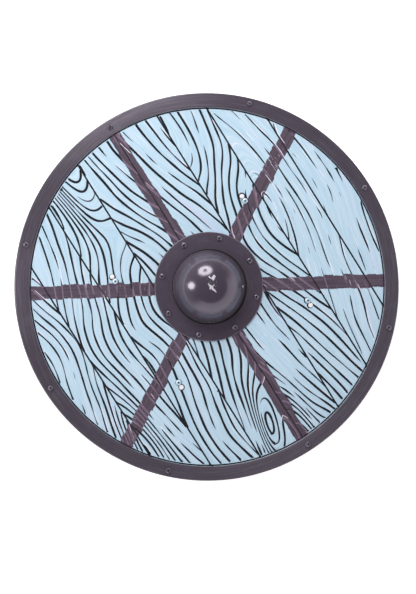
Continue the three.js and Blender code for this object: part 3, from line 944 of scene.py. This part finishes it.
steel = {
    "dark": shade(78, 71, 82),
    "worn": shade(112, 106, 118),
    # grime spots on the steel, and the painted shade in the rivets' dimples
    "grimeAndShade": shade(34, 28, 34),
    # painted shadow in the crease round the dome's foot
    "crease": shade(16, 12, 18),
    # painted highlight on the rounded edges of the rim's lip and of the flange
    "lip": shade(158, 154, 166),
    "bossDark": shade(65, 55, 69),
    "bossWorn": shade(88, 78, 93),
    "dome": shade(74, 66, 79),
    # the dome paler towards its foot: a painted reflection of the bright room
    "domeFootSheen": shade(90, 82, 94),
    "paleMark": shade(222, 220, 226),
    "paleMarks": [  # near-white marks on the dome, as strokes in mm that thin out: from, to, width
        ((2.4, 15.4), (4.4, 7.8), 1.7), ((9.0, 12.0), (4.6, 7.6), 2.7),
        ((6.4, 11.4), (4.6, 7.8), 2.6), ((-3.6, 0.1), (-4.9, 7.4), 2.5),
        ((-3.7, 0.2), (-1.8, -9.6), 3.1), ((-3.3, 0.6), (-7.8, -1.7), 2.2),
        ((-4.0, 0.0), (1.8, 0.4), 2.3), ((43.9, -28.0), (44.5, -28.9), 2.7)],
    "flecks": (0.5 * mm, 4.5 * mm, 12 * mm),  # their middle and how far they reach
    "shadeMiddle": (0.6 * mm, -0.8 * mm),  # off the middle, so that the painted shadow in the crease is broader on one side
}


class BrushedSteel(Finish):  # brushed in rings about the shield's middle, with worn patches and grime
    def __init__(self, name, dark, worn, **constants):
        super().__init__(name, Metallic=0.35, **constants)
        self.x, self.y, self.z = self.split(self.place)
        x, y = self.x, self.y
        self.radius = radius = (x * x + y * y) ** 0.5
        self.brushed = self.stretched(x / radius * 5, y / radius * 5, radius * 900,
                                      detail=3, roughness=0.6)
        self.patches = self.noise(24, self.place, detail=4, roughness=0.6)
        self.spots = self.noise(420, self.place, detail=2)
        wornAway = self.brushed.smooth(0.42, 0.8) * 0.55 + self.patches.smooth(0.5, 0.8) * 0.25
        self.colour = self.mix(wornAway, dark, worn)
        self.lay(self.spots.smooth(0.62, 0.78) * 0.35, steel["grimeAndShade"])

    def lay(self, mask, colour):  # over what is there
        self.colour = self.mix(mask, self.colour, colour)

    def end(self, roughness, lineStrength, lineDepth):
        lines = self.bump(self.brushed, lineStrength, lineDepth)
        self.dress(self.colour, roughness, self.bump(self.patches, 0.12, 0.5 * mm, lines))

    def stroke(self, start, end, width):  # the mask of a pale stroke in mm that thins out towards its end
        startX, startY, stepX, stepY = (v * mm for v in (*start, end[0] - start[0], end[1] - start[1]))
        x, y = self.x - startX, self.y - startY
        along = ((x * stepX + y * stepY) / (stepX**2 + stepY**2)).clamped()
        away = ((x - along * stepX) ** 2 + (y - along * stepY) ** 2) ** 0.5
        unsteady = (self.spots - 0.5) * 1.6
        return (away / (width * mm) + along * 0.55 + unsteady).smooth(0.85, 0.65)

    def distance(self, x, y):
        return ((self.x - x) ** 2 + (self.y - y) ** 2) ** 0.5


def makeRimSteel(lip):  # lip: the radius of the rim's inner edge
    finish = BrushedSteel("rimSteel", steel["dark"], steel["worn"], Specular_IOR_Level=0.6,
                          Anisotropic=0.8, Anisotropic_Rotation=0.25)
    # a pale line round the rim's inner edge: a painted highlight on its rounding
    rubbed = (finish.radius - lip).abs().smooth(1.3 * mm, 0.5 * mm)
    onFront = finish.z.smooth(boardFront, boardFront + 1 * mm)
    finish.lay(rubbed * onFront * finish.patches * 0.4, steel["lip"])
    finish.end(0.4 + (finish.patches - 0.5) * 0.16 + (finish.brushed - 0.5) * 0.14, 0.5, 0.3 * mm)
    return finish


def makeBossSteel(crease, edge):  # the radii of the dome's foot and of the flange's edge
    finish = BrushedSteel("bossSteel", steel["bossDark"], steel["bossWorn"], Specular_IOR_Level=0.72)
    radius, patches = finish.radius, finish.patches
    domed = radius.smooth(crease + 0.5 * mm, crease - 0.5 * mm)
    # the dome paler towards its foot: a painted reflection of the bright room round it
    domeSheen = finish.mix(radius.smooth(24 * mm, 46 * mm), steel["dome"], steel["domeFootSheen"])
    finish.lay(domed * (0.75 + patches * 0.3), domeSheen)
    # painted shadow in the crease round the dome's foot, broader on one side like a cast shadow; it also
    # roughens the crease
    shadeEdge = finish.distance(*steel["shadeMiddle"]).smooth(crease + 2.7 * mm, crease + 1.9 * mm)
    paintedShade = radius.smooth(crease - 0.7 * mm, crease) * shadeEdge
    finish.lay(paintedShade, steel["crease"])
    # a pale line round the flange's edge: a painted highlight on its rounding
    finish.lay((radius - edge).abs().smooth(1.5 * mm, 0.4 * mm) * (patches * 0.9 - 0.1), steel["lip"])
    # near-white marks on the dome's top and one on its right side, and flecks near them
    for start, end, width in steel["paleMarks"]:
        finish.lay(finish.stroke(start, end, width), steel["paleMark"])
    fleckX, fleckY, within = steel["flecks"]
    near = finish.distance(fleckX, fleckY).smooth(within, within * 0.5)
    flecks = finish.noise(800, finish.place, detail=1).smooth(0.66, 0.72)
    finish.lay(flecks * near * 0.7, steel["paleMark"])
    rough = 0.5 - domed * 0.32 + paintedShade * 0.4
    finish.end(rough + (patches - 0.5) * 0.08 + (finish.brushed - 0.5) * 0.06, 0.12, 0.08 * mm)
    return finish


rim = {
    "frontWidth": 23 * mm,
    "backWidth": 20 * mm,
    "metal": 1.8 * mm,
    "outerRound": 2.3 * mm,
    "backRound": 0.5 * mm,
    "crown": 1.6 * mm,
    "lipRound": 0.9 * mm,
    "segments": 288,
}


def makeRim(finish):
    low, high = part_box("rim")
    inner = shieldRadius - rim["frontWidth"]
    behind = shieldRadius - rim["backWidth"]
    wall = shieldRadius - rim["metal"]
    profile = roundCorners([
        (inner, high.z, rim["lipRound"]),
        (inner, boardFront + laidOn, 0),
        (wall, boardFront + laidOn, 0),
        (wall, boardBack - laidOn, 0),
        (behind, boardBack - laidOn, 0),
        (behind, low.z, rim["backRound"]),
        (shieldRadius, low.z, rim["outerRound"]),
        (shieldRadius, high.z - rim["crown"], rim["outerRound"]),
        *[(shieldRadius - rim["frontWidth"] * (0.12 + 0.78 * t), high.z - rim["crown"] * (1 - t)**2, 0)
          for t in (0, 0.2, 0.4, 0.6, 0.8, 1)],  # crowned from the outer edge inwards
    ])
    mesh = newMesh("rim_channel", *spin(profile, rim["segments"], closed=True), finish)
    settle(addPiece("rim_channel", mesh), "dark_steel", "rim")


boss = {
    "radius": 86 * mm,
    "domeRadius": 56.5 * mm,
    "domeHeight": 50 * mm,
    "metal": 1.6 * mm,
    "fillet": 1.5 * mm,
    "filletSteps": 6,
    "edge": 0.7 * mm,
    "segments": 224,
    "domeSteps": 44,
}


def makeBoss(finish):
    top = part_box("boss")[1].z
    flange = top - boss["domeHeight"]
    bottom = boardFront + laidOn
    sphere = (boss["domeRadius"] ** 2 + boss["domeHeight"] ** 2) / (2 * boss["domeHeight"])
    middle = top - sphere
    filletZ = flange + boss["fillet"]
    filletX = math.sqrt((sphere + boss["fillet"]) ** 2 - (filletZ - middle) ** 2)
    shoulder = math.atan2(filletZ - middle, filletX)
    hollow = sphere - boss["metal"]
    start = math.asin((bottom - middle) / hollow)
    profile = arc(0, middle, sphere, math.pi / 2, shoulder, boss["domeSteps"])
    profile[0] = (0, top)
    profile += arc(filletX, filletZ, boss["fillet"], shoulder - math.pi, -math.pi / 2,
                   boss["filletSteps"] + 1)[1:]
    profile += roundCorners([(filletX + 2 * mm, flange, 0), (boss["radius"], flange, boss["edge"]),
                             (boss["radius"], bottom, 0)], closed=False)
    profile += arc(0, middle, hollow, start, math.pi / 2, boss["domeSteps"] // 2)
    profile[-1] = (0, middle + hollow)
    mesh = newMesh("boss_dome", *spin(profile, boss["segments"]), finish)
    settle(addPiece("boss_dome", mesh), "dark_steel", "boss")


makeRim(makeRimSteel(shieldRadius - rim["frontWidth"]))
makeBoss(makeBossSteel(boss["domeRadius"] + 0.7 * mm, boss["radius"]))
print("rim and boss made")


# Rivets

rivet = {
    "dimpleRadius": 1.4 * mm,
    "dimpleDepth": 0.8 * mm,
    "shankRadius": 2 * mm,
    "tailRadius": 3.5 * mm,
    "tailHeight": 1.4 * mm,
    "platedRadius": 3.8 * mm,
    "segments": 36,
    "outOfRound": 0.1 * mm,
    "lean": math.radians(1.5),
    "sizeSpread": 0.03,
    "seed": 7,
    "steel": (shade(72, 65, 77), shade(134, 128, 140)),
    "blue": (paint["deepBlue"], paint["paleBlue"]),
    "nickel": ((0.9, 0.9, 0.91), (0.98, 0.98, 0.98)),
}


def rivetProfile(node, seat, dimpled):
    low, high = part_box(node)
    hole, shank, foot = rivet["dimpleRadius"], rivet["shankRadius"], rivet["tailRadius"]
    radius = headRadius if dimpled else rivet["platedRadius"]
    holeZ = high.z - rivet["dimpleDepth"]
    tail = low.z + rivet["tailHeight"]
    height = high.z - seat
    if dimpled:
        crown = [(0, holeZ), (hole * 0.6, holeZ), (hole, high.z - 0.1 * mm), (hole * 1.35, high.z),
                 (radius * 0.62, high.z - 0.12 * mm), (radius * 0.86, seat + height * 0.62)]
    else:
        crown = [(0, high.z), (radius * 0.8, high.z - 0.04 * mm), (radius * 0.94, high.z - 0.2 * mm)]
    below = [(radius, seat), (shank, seat), (shank, tail), (foot, tail),
             (foot * 0.9, low.z + rivet["tailHeight"] * 0.4), (foot * 0.5, low.z), (0, low.z)]
    return crown + [(radius, seat + height * 0.2)] + below


def makeRivetTree():
    desk, given, ids = growTree("rivetsOnPoints", {
        "Rivet": "Object", "Finish": "Material", "Lean": "Float", "Size spread": "Float", "Seed": "Int"})
    shape = desk.node("ObjectInfo", {}, {"Object": given["Rivet"]}, "Geometry")
    lean = given["Lean"]
    lowTurn = desk.vector(lean * -1, lean * -1, 0)
    highTurn = desk.vector(lean, lean, 2 * math.pi)
    turn = desk.node("FunctionNodeRandomValue", {"data_type": "FLOAT_VECTOR"},
                     {0: lowTurn, 1: highTurn, "Seed": given["Seed"]})
    turn = desk.node("FunctionNodeEulerToRotation", {}, {"Euler": turn})
    spread = given["Size spread"]
    size = desk.node("FunctionNodeRandomValue", {"data_type": "FLOAT"},
                     {2: 1 - spread, 3: spread + 1, "Seed": given["Seed"] + 5}, 1)
    placed = desk.node("InstanceOnPoints", {}, {"Points": given["Geometry"], "Instance": shape,
                                                "Rotation": turn, "Scale": desk.vector(size, size, 1)})
    endTree(desk, placed, given["Finish"])
    return desk.tree, ids


def makeRivets(kind, count, seat, finish, slot, dimpled=True):
    name = kind + "s"
    nodes = [f"{kind}_{i}" for i in range(1, count + 1)]
    shape = spin(rivetProfile(nodes[0], seat, dimpled), rivet["segments"])
    template = addPiece(name + "_one", newMesh(name + "_one", *shape, finish))
    vertices = template.data.vertices
    for vertex in vertices:  # hand-set heads are never quite round
        if vertex.co.z > seat:
            push = rivet["outOfRound"] * noise.noise(vertex.co * 420)
            vertex.co.x += push
            vertex.co.z += push * 0.4
    # the dimple, which the finishes darken with painted shade
    hollow = [float(v.co.z > seat and math.hypot(v.co.x, v.co.y) < rivet["dimpleRadius"] * 1.2)
              for v in vertices]
    template.data.attributes.new("hollow", "FLOAT", "POINT").data.foreach_set("value", hollow)
    points = bpy.data.meshes.new(name + "_points")
    points.from_pydata([(centreOf(n).x, centreOf(n).y, 0) for n in nodes], [], [])
    values = {"Rivet": template, "Finish": finish.material, "Lean": rivet["lean"],
              "Size spread": rivet["sizeSpread"], "Seed": rivet["seed"]}
    piece = grow(name, points, *rivetTree, values, finish)
    bpy.data.objects.remove(template)
    settle(piece, slot, *nodes)
    print(name, len(piece.data.polygons), "faces")


def makeRivetSteel(name, colours, metallic, roughness, hollow=0.0):  # hollow: how much painted shade darkens its dimple
    finish = Finish(name, Metallic=metallic)
    cloud = finish.noise(260, finish.place, detail=3)
    specks = finish.noise(1400, finish.place, detail=2)
    colour = finish.mix(cloud.smooth(0.35, 0.7), *colours)
    # painted shade in the dimple
    colour = finish.mix(finish.attribute("hollow") * hollow, colour, steel["grimeAndShade"])
    finish.dress(colour, roughness + (cloud - 0.5) * 0.2, finish.bump(specks, 0.1, 0.05 * mm))
    return finish


rivetTree = makeRivetTree()
rivetSteel = makeRivetSteel("rivetSteel", rivet["steel"], 0.4, 0.3, hollow=0.8)
rivetBlue = makeRivetSteel("rivetBlue", rivet["blue"], 0.0, 0.4, hollow=0.9)
nickel = makeRivetSteel("nickel", rivet["nickel"], 0.2, 0.35)
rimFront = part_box("rim")[1].z - 0.7 * rim["crown"]
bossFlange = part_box("boss")[1].z - boss["domeHeight"]
recessFloor = boardFront - boards["recess"][1]
makeRivets("rim_rivet", 8, rimFront, rivetSteel, "dark_steel")
makeRivets("boss_rivet", 8, bossFlange, rivetSteel, "dark_steel")
makeRivets("strap_rivet", 4, boardFront, rivetBlue, "blue_painted_steel")
makeRivets("plated_rivet", 4, recessFloor, nickel, "plated_steel", dimpled=False)
print("rivets made")


# Arm straps

strap = {
    "width": 32 * mm,
    "thickness": 3.5 * mm,
    "padStart": 81.2 * mm,  # from the strap's middle to the start of its flat end
    "bend": 18 * mm,
    "slope": math.radians(45),
    "corner": 7 * mm,
    "endSteps": (0, 0.4, 1.2, 2.2, 3.5, 5, 7, 14),  # mm from the end, closer where the corners turn
    "endThinned": 0.72,
    "edgeRound": 0.9 * mm,
    "channelInset": 4 * mm,
    "channelDepth": 0.35 * mm,
    "crown": 0.2 * mm,
    "stitchPitch": 5 * mm,
    "stitchLength": 3.4 * mm,
    "stitchWidth": 0.8 * mm,
    "stitchLean": math.radians(7),
    "stitchSunk": {1: 0.12 * mm, -1: 0.41 * mm},  # above and below, where the strap rests
    "stitchSeed": 3,
    "brown": (shade(62, 38, 24), shade(98, 62, 38)),
    "rubbedBrown": shade(132, 92, 60),
    "thread": (shade(168, 142, 104), shade(206, 184, 146)),
}


def strapPath(end):  # along, height and slope of the strap's middle line, from end to end
    half = strap["thickness"] / 2
    padZ = boardBack - laidOn - half
    bend, slope = strap["bend"], strap["slope"]
    drop = padZ - half - 2 * bend * (1 - math.cos(slope))
    run = drop / math.tan(slope)
    lowY = strap["padStart"] - 2 * bend * math.sin(slope) - run
    path = [(end - t * mm, padZ, 0) for t in strap["endSteps"]]
    path += [(strap["padStart"] - bend * math.sin(a), padZ - bend * (1 - math.cos(a)), a)
             for a in np.linspace(0, slope, 9)]
    path += [(lowY + bend * math.sin(a), half + bend * (1 - math.cos(a)), a)
             for a in np.linspace(slope, 0, 9)]
    path += [(t * lowY, half, 0) for t in (0.6, 0.2)]
    return path + [(-y, z, -a) for y, z, a in reversed(path)]


def strapSection(half, thick):  # (across, up) points round it, from half its width and thickness
    edge, inset, dip = strap["edgeRound"], strap["channelInset"], strap["channelDepth"]
    side = [(half, 0), (half - 0.1 * edge, thick - edge * 0.6), (half - edge * 0.5, thick - edge * 0.15),
            (half - edge, thick), (half - inset + 0.7 * mm, thick), (half - inset, thick - dip),
            (half - inset - 0.7 * mm, thick), (half * 0.3, thick + strap["crown"] * 0.5)]
    upper = side + [(-a, b) for a, b in reversed(side)]
    return upper + [(-a, -b) for a, b in upper[1:-1]]


def makeStrap(name, finish):
    low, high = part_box(name)
    middleX, middleY = (low.x + high.x) / 2, (low.y + high.y) / 2
    end = (high.y - low.y) / 2
    points, faces = [], []
    path = strapPath(end)
    for y, z, angle in path:
        fromEnd = end - abs(y)
        half = strap["width"] / 2
        if fromEnd < strap["corner"]:
            half -= strap["corner"] - math.sqrt(strap["corner"] ** 2 - (strap["corner"] - fromEnd) ** 2)
        thick = strap["thickness"] / 2 * (strap["endThinned"] if fromEnd < 0.1 * mm else 1)
        for across, up in strapSection(half, thick):
            bulge = up if angle or up < 0 or z > boardBack / 2 else min(up, strap["thickness"] / 2)
            height = min(z + bulge * math.cos(angle), boardBack - laidOn)
            points.append((middleX + across, middleY + y + bulge * math.sin(-angle), max(height, 0)))
    ring = len(points) // len(path)
    for k in range(len(path) - 1):
        for i in range(ring):
            j = (i + 1) % ring
            faces.append((k * ring + i, k * ring + j, (k + 1) * ring + j, (k + 1) * ring + i))
    faces.append(list(range(ring)))
    faces.append([len(points) - 1 - i for i in range(ring)])
    mesh = newMesh(name + "_leather", points, faces, finish, sharpFrom=50)
    settle(addPiece(name + "_leather", mesh), "strap_leather", name)
    return middleX, middleY, end


def makeStitchTree():
    desk, given, ids = growTree("stitchesOnLines", {
        "Thread": "Material", "Pitch": "Float", "Length": "Float", "Width": "Float", "Lean": "Float",
        "Seed": "Int"})
    line = desk.node("MeshToCurve", {}, {"Mesh": given["Geometry"]})
    line = desk.node("ResampleCurve", {"mode": "LENGTH"}, {"Curve": line, "Length": given["Pitch"]})
    spots = desk.node("CurveToPoints", {"mode": "EVALUATED"}, {"Curve": line})
    tangent = Wire(desk, spots.socket.node.outputs["Tangent"])
    turn = desk.node("FunctionNodeAlignRotationToVector", {"axis": "X"}, {"Vector": tangent})
    lean = given["Lean"]
    jitter = desk.node("FunctionNodeRandomValue", {"data_type": "FLOAT"},
                       {2: lean * 0.6, 3: lean * 1.4, "Seed": given["Seed"]}, 1)
    tip = desk.node("FunctionNodeEulerToRotation", {}, {"Euler": desk.vector(0, 0, jitter)})
    turn = desk.node("FunctionNodeRotateRotation", {"rotation_space": "LOCAL"},
                     {"Rotation": turn, "Rotate By": tip})
    size = desk.vector(given["Length"], given["Width"], given["Width"])
    bead = desk.node("MeshUVSphere", {}, {"Segments": 8, "Rings": 5, "Radius": 0.5})
    bead = desk.node("Transform", {}, {"Geometry": bead, "Scale": size})
    placed = desk.node("InstanceOnPoints", {}, {"Points": spots, "Instance": bead, "Rotation": turn})
    endTree(desk, placed, given["Thread"])
    return desk.tree, ids


def makeStitches(places, finish):
    points, edges = [], []
    for middleX, middleY, end in places:
        for side in (-1, 1):
            for face in (-1, 1):
                start = len(points)
                for y, z, angle in strapPath(end)[6:-6]:
                    off = face * (strap["thickness"] / 2 - strap["stitchSunk"][face])
                    points.append((middleX + side * (strap["width"] / 2 - strap["channelInset"]),
                                   middleY + y - off * math.sin(angle), z + off * math.cos(angle)))
                edges += [(k, k + 1) for k in range(start, len(points) - 1)]
    lines = bpy.data.meshes.new("stitch_lines")
    lines.from_pydata(points, edges, [])
    values = {"Thread": finish.material, "Pitch": strap["stitchPitch"], "Length": strap["stitchLength"],
              "Width": strap["stitchWidth"], "Lean": strap["stitchLean"], "Seed": strap["stitchSeed"]}
    piece = grow("strap_stitches", lines, *makeStitchTree(), values, finish)
    settle(piece, "strap_leather")
    print("strap_stitches", len(piece.data.polygons), "faces")


def makeLeather():
    finish = Finish("strapLeather", Specular_IOR_Level=0.4)
    pores = finish.node("TexVoronoi", {"feature": "DISTANCE_TO_EDGE"},
                        {"Vector": finish.place, "Scale": 900.0})
    folds = finish.noise(60, finish.place, detail=4)
    x, y, z = finish.split(finish.place)
    colour = finish.mix(folds.smooth(0.35, 0.7), *strap["brown"])
    rubbed = finish.stretched(x * 50, y * 12, z * 50, detail=3).smooth(0.55, 0.75)
    colour = finish.mix(rubbed * 0.5, colour, strap["rubbedBrown"])
    grainy = finish.bump(pores.smooth(0, 0.12), 0.4, 0.12 * mm)
    finish.dress(colour, 0.55 + (folds - 0.5) * 0.3, finish.bump(folds, 0.25, 0.5 * mm, grainy))
    return finish


def makeThread():
    finish = Finish("waxedThread")
    x, y, z = finish.split(finish.place)
    twist = finish.stretched(x * 900, y * 900 + x * 900, z * 900, detail=1)
    colour = finish.mix(twist.smooth(0.4, 0.6), *strap["thread"])
    finish.dress(colour, 0.6 + twist * 0.2, finish.bump(twist, 0.4, 0.1 * mm))
    return finish


leather = makeLeather()
strapSpots = [makeStrap(name, leather) for name in ("arm_strap_left", "arm_strap_right")]
makeStitches(strapSpots, makeThread())
print("straps made")
